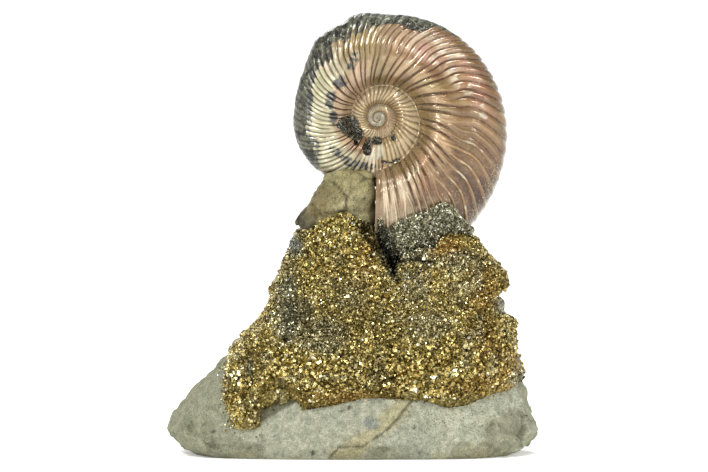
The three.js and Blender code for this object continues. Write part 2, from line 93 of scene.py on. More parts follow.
def cells(points, size, seed):
    """The nearest and second nearest distance to scattered cell middles, the cell's own number
    from 0 to 1, and the way from its middle."""
    place = points / size
    base = np.floor(place).astype(np.int64)
    count = len(points)
    first = np.full(count, 9.0)
    second = np.full(count, 9.0)
    number = np.zeros(count)
    away = np.zeros((count, 3))
    for step in np.ndindex(3, 3, 3):
        corner = base - 1 + step
        i, j, k = corner.T
        jitter = np.stack([hashed(i, j, k, seed + n) for n in range(3)], 1)
        offset = place - corner - jitter
        distance = np.linalg.norm(offset, axis=1)
        closer = distance < first
        second = np.where(closer, first, np.minimum(second, distance))
        first = np.where(closer, distance, first)
        number = np.where(closer, hashed(i, j, k, seed + 3), number)
        away[closer] = offset[closer]
    return first, second, number, away


def patchy(points, grain, seed, low, high, flat=1):
    """Patches of noise, 0 below low and 1 above high, so many times flatter than wide."""
    return eased(noise(points * (1, 1, flat), grain, seed), low, high)


def spot(points, x, z, reach_x, reach_z, soft, wobble):
    """1 inside a ragged patch seen from the front, 0 outside it."""
    ragged = wobble * noise(points, 0.6 * (reach_x + reach_z), 71)
    distance = np.hypot((points[:, 0] - x) / reach_x, (points[:, 2] - z) / reach_z) + ragged
    return 1 - eased(distance, 1 - soft, 1 + soft)


def zoned(points, zones, soft=0.6, wobble=0.5):
    """How strongly points are in any of some patches: middle (x, z), reach and strength."""
    return np.max([most * spot(points, *patch, soft, wobble) for *patch, most in zones], 0)


def line_distance(points, line):
    """How far points are, seen from the front, from a line through (x, z) places."""
    flat = points[:, [0, 2]]
    best = np.full(len(points), 1e9)
    for a, b in zip(np.array(line[:-1], float), np.array(line[1:], float)):
        along = np.clip(((flat - a) @ (b - a)) / ((b - a) @ (b - a)), 0, 1)
        best = np.minimum(best, np.linalg.norm(flat - a - along[:, None] * (b - a), axis=1))
    return best


def stripe(points, line, width, soft, wobble=0, grain=3):
    """1 on a line with a width, seen from the front, and 0 away from it."""
    off = line_distance(points, line) + wobble * noise(points, grain, 72)
    return 1 - eased(off, width / 2, width / 2 + soft)


# Colours


def linear(*screen):
    """A screen colour from 0 to 255 as linear light."""
    c = np.array(screen, float) / 255
    return np.where(c <= 0.04045, c / 12.92, ((c + 0.055) / 1.055) ** 2.4)


def paint(colours, mask, *screen):
    """Lays a screen colour over an array of linear colours where a mask says so."""
    share = np.clip(mask, 0, 1)[:, None]
    colours += share * (linear(*screen) - colours)


def from_palette(values, palette):
    """Linear colours from a palette, whose stops are a value and a screen colour."""
    stops = [value for value, *_ in palette]
    channels = np.array([linear(*screen) for _, *screen in palette]).T
    return np.stack([np.interp(values, stops, channel) for channel in channels], 1)


# Meshes


def new_object(name, data):
    made = bpy.data.objects.new(name, data)
    bpy.context.scene.collection.objects.link(made)
    return made


def make_piece(name, points, faces, smooth=True):
    """A mesh object from points in millimetres."""
    mesh = bpy.data.meshes.new(name)
    mesh.from_pydata((points * MM).tolist(), [], faces.tolist(), shade_flat=not smooth)
    return new_object(name, mesh)


def triples(items, key):
    """The three numbers that each item of a mesh has under a key, as rows."""
    values = np.empty(3 * len(items))
    items.foreach_get(key, values)
    return values.reshape(-1, 3)


def move_points(piece, points):
    piece.data.vertices.foreach_set("co", (points * MM).ravel())
    piece.data.update()


def store(piece, name, values):
    """A number or a linear colour for each point of a piece, for its material to read."""
    kind, key = ("FLOAT", "value") if np.ndim(values) == 1 else ("FLOAT_COLOR", "color")
    if key == "color":
        values = np.insert(values, 3, 1, axis=1)
    layer = piece.data.attributes.new(name, kind, "POINT")
    layer.data.foreach_set(key, np.asarray(values, np.float32).ravel())


def remeshed_copy(node_name, name, voxel):
    """A CAD node's shape as a new piece with an even, fine mesh, and its points and normals."""
    piece = new_object(name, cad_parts[node_name].data.copy())
    piece.data.materials.clear()
    modifier = piece.modifiers.new("remesh", "REMESH")
    modifier.mode = "VOXEL"
    modifier.voxel_size = voxel * MM
    modifier.use_smooth_shade = True
    evaluated = piece.evaluated_get(bpy.context.evaluated_depsgraph_get())
    fine = bpy.data.meshes.new_from_object(evaluated)
    piece.modifiers.clear()
    piece.data = fine
    return piece, triples(fine.vertices, "co") / MM, triples(fine.vertex_normals, "vector")


def tree_of(node_name):
    """A search tree of a CAD node's surface."""
    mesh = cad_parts[node_name].data
    corners = [v.co / MM for v in mesh.vertices]
    return BVHTree.FromPolygons(corners, [tuple(p.vertices) for p in mesh.polygons])


def dress(piece, material, slot, *nodes):
    """Puts a piece on the body, in its material, and lets it stand for CAD nodes."""
    piece.data.materials.append(material)
    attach(piece, "root")
    if nodes:
        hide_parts(*nodes)


# Material nodes


def fill(tree, made, inputs):
    """Gives a node's inputs their values, or links them to other nodes."""
    for key, value in inputs.items():
        if isinstance(value, bpy.types.NodeSocket):
            tree.links.new(value, made.inputs[key])
        else:
            made.inputs[key].default_value = value


def node(tree, kind, inputs=None, **settings):
    made = tree.nodes.new("ShaderNode" + kind)
    for key, value in settings.items():
        setattr(made, key, value)
    fill(tree, made, inputs or {})
    return made


def solid(*screen):
    """A screen colour from 0 to 255 as the value of a colour socket."""
    return (*linear(*screen), 1)


def mixed(tree, share, a, b, blend="MIX"):
    made = node(tree, "Mix", data_type="RGBA", blend_type=blend)
    fill(tree, made, {0: share, 6: a, 7: b})
    return made.outputs[2]


def reckoned(tree, operation, a, b, c=0):
    return node(tree, "Math", {0: a, 1: b, 2: c}, operation=operation).outputs[0]


def times(tree, a, b):
    return reckoned(tree, "MULTIPLY", a, b)


def ramp(tree, share, stops):
    made = node(tree, "ValToRGB", {0: share})
    elements = made.color_ramp.elements
    while len(elements) < len(stops):
        elements.new(1)
    for element, (position, *colour) in zip(elements, stops):
        element.position = position
        element.color = solid(*colour)
    return made.outputs[0]


def stored(tree, name, output="Fac"):
    return node(tree, "Attribute", attribute_name=name).outputs[output]


def texture(tree, grain, detail=3, roughness=0.55, distortion=0):
    """Noise whose lumps are about so many millimetres across."""
    inputs = {"Vector": node(tree, "TexCoord").outputs["Object"], "Scale": 1 / (grain * MM)}
    inputs.update({"Detail": detail, "Roughness": roughness, "Distortion": distortion})
    return node(tree, "TexNoise", inputs).outputs[0]


def stretched(tree, value, low, high):
    """A share from 0 to 1 as a value goes from low to high."""
    inputs = {"Value": value, "From Min": low, "From Max": high}
    return node(tree, "MapRange", inputs, interpolation_type="SMOOTHSTEP").outputs[0]


def ragged(tree, mask, fine, reach=0.5):
    """A mask whose soft edge is broken up by fine noise."""
    shift = reckoned(tree, "SUBTRACT", fine, 0.5)
    return stretched(tree, reckoned(tree, "MULTIPLY_ADD", shift, reach * 2, mask), 0.4, 0.6)


def bumped(tree, height, depth, below=None):
    """A surface normal with a height in millimetres on it."""
    inputs = {"Height": height, "Distance": depth * MM, "Strength": 1}
    if below is not None:
        inputs["Normal"] = below
    return node(tree, "Bump", inputs).outputs[0]


def new_material(name, **values):
    """A material, its node tree and its surface shader."""
    material = bpy.data.materials.new(name)
    material.use_nodes = True
    tree = material.node_tree
    surface = tree.nodes["Principled BSDF"]
    fill(tree, surface, {key.replace("_", " "): value for key, value in values.items()})
    return material, tree, surface


# Camera and light


LENS = 200
SENSOR = 36
CAMERA_ELEVATION = math.radians(2.5)
SUBJECT_Y = -12


def make_camera():
    """A camera that sees the photograph's frame at the photograph's scale."""
    x = (PHOTO_SIZE[0] / 2 - PHOTO_MIDDLE_X) * PHOTO_MM_PER_PIXEL
    z = (PHOTO_FLOOR_Y - PHOTO_SIZE[1] / 2) * PHOTO_MM_PER_PIXEL
    target = Vector((x, SUBJECT_Y, z)) * MM
    distance = PHOTO_SIZE[0] * PHOTO_MM_PER_PIXEL * MM * LENS / SENSOR
    back = Vector((0, -math.cos(CAMERA_ELEVATION), math.sin(CAMERA_ELEVATION)))
    data = bpy.data.cameras.new("camera")
    data.lens = LENS
    data.sensor_width = SENSOR
    camera = new_object("camera", data)
    camera.location = target + back * distance
    camera.rotation_euler = (-back).to_track_quat("-Z", "Y").to_euler()
    bpy.context.scene.camera = camera


LIT_MIDDLE = Vector((0, 0, 0.11))


def make_lamp(name, place, size, watts, warmth=(1, 1, 1)):
    """A soft square lamp that looks at the middle of the piece. Places are in metres."""
    data = bpy.data.lights.new(name, "AREA")
    data.size = size
    data.energy = watts
    data.color = warmth
    lamp = new_object(name, data)
    lamp.location = place
    lamp.rotation_euler = (LIT_MIDDLE - Vector(place)).to_track_quat("-Z", "Y").to_euler()


# The floor's measures are in metres.
STAGE_RADIUS = 3.4
STAGE_FLAT = 2.1
STAGE_RIM = 1.5


def make_stage():
    """A white floor that curves up all round, so that no view shows a horizon."""
    sides, rings = 96, 24
    ring, side = np.indices((rings, sides)).reshape(2, -1)
    reach = STAGE_RADIUS * (ring + 1) / rings
    rise = STAGE_RIM * np.clip((reach - STAGE_FLAT) / (STAGE_RADIUS - STAGE_FLAT), 0, 1) ** 2
    turn = TURN * side / sides
    points = np.stack([reach * np.cos(turn), reach * np.sin(turn), rise], 1)
    ids = np.arange(rings * sides).reshape(rings, sides)
    after = np.roll(ids, -1, axis=1)
    band = np.stack([ids[:-1], ids[1:], after[1:], after[:-1]], -1).reshape(-1, 4)
    mesh = bpy.data.meshes.new("floor")
    mesh.from_pydata(points.tolist(), [], [ids[0].tolist(), *band.tolist()], shade_flat=False)
    floor = new_object("floor", mesh)
    glow = {"Emission_Color": (1, 1, 1, 1), "Emission_Strength": 0.25}
    material, tree, surface = new_material("white_paper", Roughness=0.9, Specular_IOR_Level=0.1, **glow)
    fibre = ramp(tree, texture(tree, 40), [(0.3, 250, 250, 250), (0.7, 254, 254, 254)])
    fill(tree, surface, {"Base Color": fibre})
    mesh.materials.append(material)


def light_scene():
    world = bpy.data.worlds.new("studio")
    bpy.context.scene.world = world
    world.use_nodes = True
    fill(world.node_tree, world.node_tree.nodes["Background"], {0: (1, 1, 1, 1), 1: 0.45})
    make_lamp("key", (-1, -1.3, 1.7), 0.35, 34, (1, 0.985, 0.96))
    make_lamp("fill", (1.5, -1.2, 1), 0.25, 6, (0.97, 0.98, 1))
    make_lamp("top", (0.3, -0.1, 1.9), 0.4, 12)
    make_lamp("low_front", (-0.1, -1.9, 0.35), 0.2, 3)
    make_lamp("back", (-0.6, 1.8, 1.4), 0.8, 12)
    bpy.context.scene.view_settings.view_transform = "Standard"


# The shell


# The coil's axis runs along y. A whorl is WHORL_RATIO times as large as the one inside it.
COIL_X, COIL_Y, COIL_Z = 13, -1, 169
COIL_RIGHT = 66.6
WHORL_RATIO = 2.42
MOUTH = math.radians(182)
TURNS = 4

# Half of the whorl's section from the venter inwards: distance from the axis and half width as
# shares of the coil's radius, how many degrees the section leads there, and how many more the
# ribs lead. The next whorl covers the rows before COVER.
SECTION = np.array([
    (1, 0, 17, 5), (0.945, 0.15, 12.5, 6.5), (0.745, 0.25, 5, 5.5), (0.6, 0.28, 1.5, 7),
    (0.45, 0.27, 0, 3.5), (0.36, 0.2, 2, -2), (0.745 / WHORL_RATIO, 0.25 / WHORL_RATIO, 5, -7),
])
COVER = 2
SECTION_MIDDLE = 0.6
THINNEST_HALF = 1.2
KNOB_HALF = 1.7
STEPS = 960
# Rows of points on the crown and on the flank, of the front, 1, and of the back, -1.
ROWS = {1: (16, 30), -1: (8, 10)}
RIB_HEIGHT = 0.02
# The flank at the lower left stands out a little further than the even coil.
SWELLING = 3.4
SWELLING_BEARING = -132

# Ribs at the venter by angle: how many a turn would hold, and how many share one root.
RIB_ANGLES = np.radians([-178, -90, 0, 35, 60, 90, 182])
RIB_DENSITY = (80, 82, 82, 74, 62, 58, 60)
RIB_SPLIT = (1.7, 1.7, 1.6, 1.8, 1.7, 1.5, 1.1)
INNER_DENSITY = 40


def coil_radius(angle):
    return COIL_RIGHT * np.exp(math.log(WHORL_RATIO) / TURN * (angle - math.pi / 2))


def bearing(points):
    """The angle of points about the coil's axis, clockwise from the top."""
    return np.arctan2(points[:, 0] - COIL_X, points[:, 2] - COIL_Z)


def section_at(t):
    """The section's rows as a smooth curve."""
    before = SECTION[1] * (1, -1, 1, 1)
    after = 2 * SECTION[-1] - SECTION[-2]
    knots = np.vstack([before, SECTION, after])
    i = np.clip(np.floor(t).astype(int), 0, len(SECTION) - 2)
    f = (t - i)[:, None]
    a, b, c, d = (knots[i + n] for n in range(4))
    curve = 2 * b + (c - a) * f + (2 * a - 5 * b + 4 * c - d) * f**2 + (3 * b - a - 3 * c + d) * f**3
    return curve / 2


def lead_share(angle):
    """Ribs straighten at the mouth and where the last whorl leaves the one before it."""
    reach = math.radians(40)
    return eased(abs(angle - MOUTH), 0, reach) * eased(abs(angle - MOUTH + TURN), 0, reach)


def lay_out_ribs():
    """The ribs' angles at the venter, their spans, the angles of their roots and the roots'
    spans, from the innermost turn to just past the mouth."""
    crests, spans, roots, root_spans = [], [], [], []
    angle = MOUTH + 0.12
    owed = 0
    while angle > MOUTH - 3.3 * TURN:
        inner = angle < MOUTH - TURN
        density = INNER_DENSITY if inner else np.interp(angle, RIB_ANGLES, RIB_DENSITY)
        owed += 1 if inner else np.interp(angle, RIB_ANGLES, RIB_SPLIT)
        members = max(1, round(owed))
        owed -= members
        widths = TURN / density * (1 + 0.12 * RNG.uniform(-1, 1, members))
        edges = angle - np.concatenate([[0], np.cumsum(widths)])
        crests.extend((edges[:-1] + edges[1:]) / 2)
        spans.extend(widths)
        roots.extend([(edges[0] + edges[-1]) / 2] * members)
        root_spans.extend([widths.sum()] * members)
        angle = edges[-1]
    return tuple(np.array(values[::-1]) for values in (crests, spans, roots, root_spans))


def rib_relief(angle, out, bend):
    """How high the ribs stand, from 0 in a groove to 1 on a crest, a number from 0 to 1 for the
    rib, and growth lines from -1 to 1. Broad roots at the umbilicus part on the flank into ribs,
    which become narrow threads on the last part of the whorl. The ribs lean forward on one side
    of the coil only."""
    crests, spans, roots, root_spans = lay_out_ribs()
    count = len(crests)
    heights = 1 + 0.14 * RNG.uniform(-1, 1, count)
    starts = 0.47 + 0.05 * RNG.uniform(-1, 1, count)
    around = np.degrees((angle + math.pi) % TURN - math.pi)
    lean = eased(around, -75, -15) * (1 - eased(around, 130, 175))
    at = angle - np.radians(bend) * lean * lead_share(angle)
    threaded = eased(angle, math.radians(68), math.radians(116))
    inner = angle < MOUTH - TURN
    share = np.where(inner, 1, eased(out, 0.46, 0.62))
    nearest = np.clip(np.searchsorted(crests, at), 4, count - 5)
    relief = np.zeros(len(angle))
    owner = np.zeros(len(angle))

    def marks(along, inward, seed):
        return noise(np.stack([at * along, out * inward, at * 0], 1), 1, seed)

    mottled = marks(9, 7, 73)
    for shift in range(-3, 3):
        rib = nearest + shift
        spread = eased(out, starts[rib], starts[rib] + 0.16)
        middle = roots[rib] + (crests[rib] - roots[rib]) * spread
        half = (root_spans[rib] + (spans[rib] - root_spans[rib]) * spread) / 2
        across = np.abs(at - middle) / half
        single = 1 - np.clip(across, 0, 1) ** 2.8
        beside = (0.2 + 0.2 * mottled) * eased(across, 0.56, 0.72)
        thread = np.maximum(1 - eased(across, 0.12, 0.42), beside)
        thread = thread * (1 - 0.7 * eased(out, 0.82, 0.95))
        root = (1 - eased(across, 0.5, 0.95)) * (0.84 + 0.16 * np.cos(TURN * 1.6 * across))
        form = root + (single + (thread - single) * threaded - root) * share
        ridge = heights[rib] * form
        owner = np.where(ridge > relief, hashed(rib, 0, 0, 5), owner)
        relief = np.maximum(relief, ridge)
    return relief, owner, 0.6 * marks(75, 3, 74) + 0.4 * marks(170, 5, 75)


# Breakages on the front of the shell: middle (x, z), reach and depth.
PITS = [
    (-3.6, 165.6, 5.6, 4.6, 1.3), (1.8, 160.4, 3.4, 3, 1.2), (2.2, 157.3, 1.5, 1.3, 2.6),
    (7.7, 154.6, 1.9, 3.7, 3.2), (11.8, 157.4, 2.6, 2, 1.2), (20.3, 159.2, 1.2, 1.7, 2.4),
]
EDGE_CHIPS = [
    (-5.8, 210.1, 2, 1.8, 1.8), (11.6, 216.2, 1.8, 1.4, 1.4), (29, 216.2, 3.4, 2.4, 1.8),
    (34.5, 214.6, 4.6, 2.2, 2),
]
# Pyrite grown on the bare venter: middle (x, z), reach and height.
VENTER_LUMPS = [
    (-15.5, 211, 7, 7, 3.6), (-21, 202.5, 5, 7, 1.4), (-4, 217.5, 8, 6, 2.2),
    (6, 220, 7, 6, 2.2),
]
# Patches: middle (x, z), reach and strength.
CALCITE = [(13.4, 152.6, 2.3, 3.8, 1), (10.4, 149.8, 4.4, 1.9, 1)]
OYSTERS = [(31.1, 143.2, 1.7, 1.7, 1), (25.6, 137.6, 1.2, 1.2, 1), (21.6, 149.5, 0.9, 0.9, 1)]
SMOKY_BAND = [(0.3, 199.8), (-1.9, 191.8), (-6.3, 185.9), (-9.3, 181.5), (-11.1, 175.6), (-10, 168)]
NECK_BAND = [(-10.7, 154), (-6.3, 150), (0.3, 146), (9.8, 144.5)]
SEAM_CRACK = [(14.9, 147.2), (19.3, 146.2), (23.7, 148.2)]

# Where the venter has lost its shell, by the angle from the top.
BARE_FROM = math.radians(-130)
BARE_TO = math.radians(44)
BARE_WIDTH = 6.4


def shell_damage(points, front, outer, inward):
    """Masks of the bare pyrite, of dark breaks, of smoky stains and of calcite, and the depth
    lost to them. Inward is each point's way in from the venter."""
    here = bearing(points)
    uneven = inward + 1.6 * noise(points, 6, 5) + 0.9 * noise(points, 2.2, 6)
    span = eased(here, BARE_FROM, BARE_FROM + 0.2) * (1 - eased(here, BARE_TO - 0.6, BARE_TO))
    width = BARE_WIDTH * (0.35 + 0.65 * span)
    bare = outer * (span > 0) * (1 - eased(uneven, width - 1.6, width + 0.6))
    rim = outer * span * (1 - eased(np.abs(uneven - width - 0.8), 0.8, 2.4)) * front
    rim = rim * eased(noise(points, 8, 7) + 0.35 - 0.5 * eased(here, -0.4, 0.2), 0, 0.4)
    smoke = stripe(points, SMOKY_BAND, 2.2, 2.4, 1.8) * front * outer
    smoke = smoke * patchy(points, 4, 9, -0.8, -0.1)
    smoke = np.maximum(smoke, 0.9 * stripe(points, NECK_BAND, 2.2, 1.8, 1) * front)
    smoke = np.maximum(smoke, rim)
    dark = np.zeros(len(points))
    lost = 0.1 * bare + 0.2 * smoke
    for *patch, depth in PITS:
        mask = spot(points, *patch, 0.22, 0.4) * front
        dark = np.maximum(dark, mask * (0.75 if depth < 2 else 1))
        lost = lost + depth * mask
    for *patch, depth in EDGE_CHIPS:
        mask = spot(points, *patch, 0.2, 0.4) * outer
        dark = np.maximum(dark, 0.6 * mask)
        lost = lost + depth * mask
    for *patch, height in VENTER_LUMPS:
        lost = lost - height * spot(points, *patch, 0.9, 0.2) * outer
    crack = stripe(points, SEAM_CRACK, 0.7, 0.5, 0.3, 2) * front
    dark = np.maximum(dark, crack)
    lost = lost + 0.8 * crack
    calcite = zoned(points, CALCITE, 0.25, 0.35) * front
    lost = lost - 0.5 * calcite
    return bare, dark, smoke, calcite, lost


def shell_colours(points, out, outer, turns_in):
    """The crests' and the grooves' colours, zone by zone: the crests are partly painted highlight and
    the dark grooves partly painted shade. Bearings run clockwise from the top.
    """
    here = np.degrees(bearing(points)) % 360 + 7 * noise(points, 16, 81)
    wide = out + 0.05 * noise(points, 9, 82)
    high = np.tile(linear(158, 126, 96), (len(points), 1))
    low = np.tile(linear(84, 60, 42), (len(points), 1))

    def zone(start, end, soft=14):
        middle, half = (start + end) / 2, (end - start) / 2
        off = np.abs((here - middle + 180) % 360 - 180)
        return (1 - eased(off, half - soft, half + soft)) * outer

    def ring(start, end, soft=0.04):
        return eased(wide, start - soft, start + soft) * (1 - eased(wide, end - soft, end + soft))

    def both(mask, crest, groove):
        paint(high, mask, *crest)
        paint(low, mask, *groove)

    right = zone(12, 150)
    both(zone(-30, 30), (170, 152, 116), (84, 64, 42))
    both(right, (154, 120, 92), (84, 58, 40))
    # Paler crests in bands across the flank: the shell's own paler colour, and painted highlight along
    # the ribs.
    paint(high, right * ring(0.42, 0.57), 200, 176, 150)
    paint(high, zone(10, 132) * ring(0.66, 0.86), 206, 178, 158)
    paint(high, 0.6 * zone(20, 90) * ring(0.66, 0.86) * patchy(points, 7, 83, -0.3, 0.5), 222, 176, 180)
    flush = zone(70, 135) * patchy(points, 14, 94, -0.1, 0.4, 2)
    paint(high, 0.65 * flush * ring(0.56, 0.9), 202, 132, 114)
    paint(high, 0.55 * right * patchy(points, 11, 84, 0.15, 0.6, 1.6), 160, 150, 104)
    paint(high, zone(196, 324, 20) * eased(wide, 0.5, 0.6), 206, 204, 182)
    paint(low, zone(196, 330) * eased(wide, 0.5, 0.6), 58, 55, 44)
    paint(high, zone(210, 320) * eased(wide, 0.8, 0.92), 132, 134, 116)
    paint(low, zone(220, 320) * eased(wide, 0.76, 0.88), 36, 37, 34)
    both(zone(235, 350) * (1 - eased(wide, 0.5, 0.58)), (200, 176, 154), (92, 66, 48))
    paint(high, zone(90, 186), 204, 176, 148)
    paint(high, zone(150, 194), 240, 226, 212)
    paint(low, zone(85, 186) * eased(wide, 0.46, 0.6), 92, 62, 42)
    both(0.6 * zone(125, 184) * patchy(points, 6, 85, 0, 0.4), (190, 140, 110), (120, 80, 56))
    both((1 - eased(wide, 0.36, 0.43)) * zone(-20, 175), (150, 128, 94), (92, 70, 46))
    rusty = zone(60, 160) * patchy(points, 13, 86, 0.2, 0.6) * eased(wide, 0.55, 0.75)
    both(0.6 * rusty, (150, 102, 76), (108, 70, 50))
    paint(low, 0.6 * zone(85, 150) * patchy(points, 7, 90, 0, 0.4, 1.4), 132, 100, 70)
    deep = zone(42, 162) * eased(wide, 0.44, 0.6)
    lower = zone(104, 170) * eased(wide, 0.44, 0.6)
    high *= (1 - deep[:, None] * (0.2, 0.27, 0.4)) * (1 - 0.16 * lower[:, None])
    low *= (1 - deep[:, None] * (0.3, 0.5, 0.72)) * (1 - 0.3 * lower[:, None])
    blotches = deep * patchy(points, 5, 93, -0.1, 0.5, 1.5)
    paint(low, 0.5 * blotches, 66, 44, 26)
    paint(high, 0.3 * blotches, 150, 118, 84)
    paint(low, 0.7 * zone(164, 196, 8), 160, 138, 116)
    olive = zone(40, 130) * patchy(points, 9, 89, 0.1, 0.5) * eased(wide, 0.86, 0.96)
    paint(high, 0.7 * olive, 126, 116, 76)

    inner = 1 - outer
    both(inner, (192, 174, 142), (70, 52, 34))
    paint(high, 0.7 * inner * patchy(points, 5, 87, 0, 0.5), 162, 134, 104)
    suture = inner * (1 - eased(out, 0.315, 0.36))
    both(0.7 * suture, (104, 84, 62), (80, 62, 44))
    both(eased(turns_in, 2.4, 2.9) * (1 - suture), (176, 170, 156), (62, 56, 48))
    return high, low


def shell_dust(points, out, front, outer):
    """Where fine grains of pyrite dust the shell: near the silvery druse and on the venter."""
    near_silver = 0.8 * (1 - eased(points[:, 2], 116, 132)) * patchy(points, 9, 91, -0.6, 0.6)
    venter = eased(out, 0.85, 0.98) * 0.4
    lower_right = eased(bearing(points), 1.2, 2.2) * patchy(points, 12, 92, 0, 0.7) * 0.35
    rings = zoned(points, OYSTERS, 0.3, 0.3) * front
    return np.maximum(np.clip(near_silver + venter + lower_right, 0, 1) * outer, rings)


# How much of the red, green and blue of the shell's colours is kept, since its lustre pales them.
WARMTH = np.array([1, 0.94, 0.76])


def make_shell():
    """The shell as one closed surface. A turn inside another has half as many steps."""
    columns = []
    total = 0
    ids = {}

    def steps_of(turn):
        return STEPS // 2**turn

    def rows_of(side, turn):
        crown, flank = ROWS[side]
        inner = COVER + (len(SECTION) - 1 - COVER) * np.arange(flank) / flank
        return np.concatenate([COVER * np.arange(crown) / crown, inner]) if turn == 0 else inner

    for turn in range(TURNS + 1):
        for side in (1, -1):
            rows = rows_of(side, turn)
            if turn == TURNS:
                rows = rows[:1]
            count = steps_of(turn) + (turn == 0)
            step, t = np.meshgrid(np.arange(count), rows, indexing="ij")
            angle = MOUTH + TURN * (step.ravel() / steps_of(turn) - turn - 1)
            ids[turn, side] = total + np.arange(count * len(rows)).reshape(count, len(rows))
            total += count * len(rows)
            columns.append((angle, *section_at(t.ravel()).T, np.full(len(angle), side)))
    angle, out, half, lead, bend, side = (np.concatenate(column) for column in zip(*columns))

    for turn in range(1, TURNS + 1):
        for face in (1, -1):
            joint = ids[turn - 1, face][:1, -ROWS[face][1] :]
            ids[turn, face] = np.vstack([ids[turn, face], joint[:, : ids[turn, face].shape[1]]])
    for turn in range(TURNS):
        for face in (1, -1):
            under = ids[turn + 1, face][:, 0]
            seam = under[np.arange(len(ids[turn, face])) // 2]
            ids[turn, face] = np.hstack([ids[turn, face], seam[:, None]])
    ids[0, -1][:, 0] = ids[0, 1][:, 0]

    triangles = []

    def add_strip(grid):
        a, b, c, d = grid[:-1, :-1], grid[:-1, 1:], grid[1:, :-1], grid[1:, 1:]
        triangles.append(np.stack([a, c, b], -1).reshape(-1, 3))
        triangles.append(np.stack([b, c, d], -1).reshape(-1, 3))

    whole = np.hstack([ids[0, 1][:, ::-1], ids[0, -1][:, 1:]])
    front_crown, back_crown = (ids[0, face][0, : ROWS[face][0] + 1] for face in (1, -1))
    crown = np.concatenate([front_crown[::-1], back_crown[1:]])
    fork = np.pad(crown, (ROWS[1][1], ROWS[-1][1]), "edge")
    add_strip(np.vstack([whole, fork]))
    for turn in range(1, TURNS):
        add_strip(ids[turn, 1][:, ::-1])
        add_strip(ids[turn, -1])

    radius = coil_radius(angle)
    crest, owner, growth = rib_relief(angle, out, bend)
    crest = np.where(angle < MOUTH - 3.1 * TURN, 0.5, crest)
    outer = (angle > MOUTH - TURN).astype(float)
    strength = 0.7 + 0.3 * eased(1 - out, 0, 0.1)
    strength = strength * (1 - 0.4 * (1 - eased(np.abs(out - 0.63), 0, 0.07)) * outer)
    strength = strength * (0.45 + 0.55 * eased(out, 0.31, 0.42))

    swelling = SWELLING * (1 - eased(np.abs(np.degrees(angle) - SWELLING_BEARING), 6, 44))
    swelling = swelling * eased(out, 0.4, 1)

    def placed(push):
        away = np.stack([out - SECTION_MIDDLE, half], 1)
        away /= np.linalg.norm(away, axis=1)[:, None]
        rho = out * radius + swelling + away[:, 0] * push
        depth = np.maximum(half * radius, THINNEST_HALF) + away[:, 1] * push
        depth = np.where(half > 1e-6, depth, 0)
        turned = angle + np.radians(lead) * lead_share(angle)
        x, z = COIL_X + rho * np.sin(turned), COIL_Z + rho * np.cos(turned)
        return np.stack([x, COIL_Y - side * depth, z], 1)

    plain = placed(0)
    front = (side > 0).astype(float)
    bare, dark, smoke, calcite, lost = shell_damage(plain, front, outer, (1 - out) * radius)
    smoke = smoke * (0.62 + 0.55 * (1 - crest))
    relief = RIB_HEIGHT * radius * strength * (crest - 0.5) * (1 - 0.65 * bare)
    relief = relief + 0.05 * growth * outer * (1 - bare)
    relief = relief + bare * (0.2 * noise(plain, 1.1, 20) + 0.3 * noise(plain, 3.5, 21))
    relief = relief + dark * 0.55 * noise(plain, 1.5, 22) + 0.04 * noise(plain, 2.5, 23)
    relief = relief + calcite * 0.5 * noise(plain, 1.3, 24)
    body = placed(relief - lost)

    knobs = []
    for face in (1, -1):
        loop = np.concatenate([ids[TURNS - 1, face][:, -1], ids[TURNS - 1, face][0]])
        centre = len(body) + len(knobs)
        knobs.append((COIL_X, COIL_Y - face * KNOB_HALF, COIL_Z))
        fan = np.stack([np.full(len(loop) - 1, centre), loop[:-1], loop[1:]], 1)
        triangles.append(fan if face < 0 else fan[:, ::-1])
    body = np.vstack([body, knobs])
    faces = np.vstack(triangles)
    proper = (faces != np.roll(faces, 1, axis=1)).all(axis=1)
    used, faces = np.unique(faces[proper], return_inverse=True)
    piece = make_piece("ammonite", body[used], faces.reshape(-1, 3))

    high, low = shell_colours(plain, out, outer, (MOUTH - angle) / TURN)
    paint(high, calcite, 226, 224, 214)
    paint(low, calcite, 196, 192, 182)
    lined = 0.22 * growth * (0.5 + 0.5 * outer)
    high *= (0.68 + 0.2 * (owner - 0.5) + lined)[:, None] * WARMTH
    low *= (0.8 + lined)[:, None] * WARMTH
    marks = {"crest": crest, "bare": bare, "dark": dark, "smoke": smoke, "calcite": calcite}
    marks["dust"] = shell_dust(plain, out, front, outer)
    # Where painted sheen lies: a band of the outer flank on the front.
    marks["painted_sheen"] = outer * front * eased(out, 0.62, 0.68) * (1 - eased(out, 0.84, 0.9))
    for name, values in marks.items():
        last = 0.6 if name == "crest" else 0
        store(piece, name, np.append(values, [last, last])[used])
    store(piece, "high", np.vstack([high, high[-2:]])[used])
    store(piece, "low", np.vstack([low, low[-2:]])[used])
    return piece


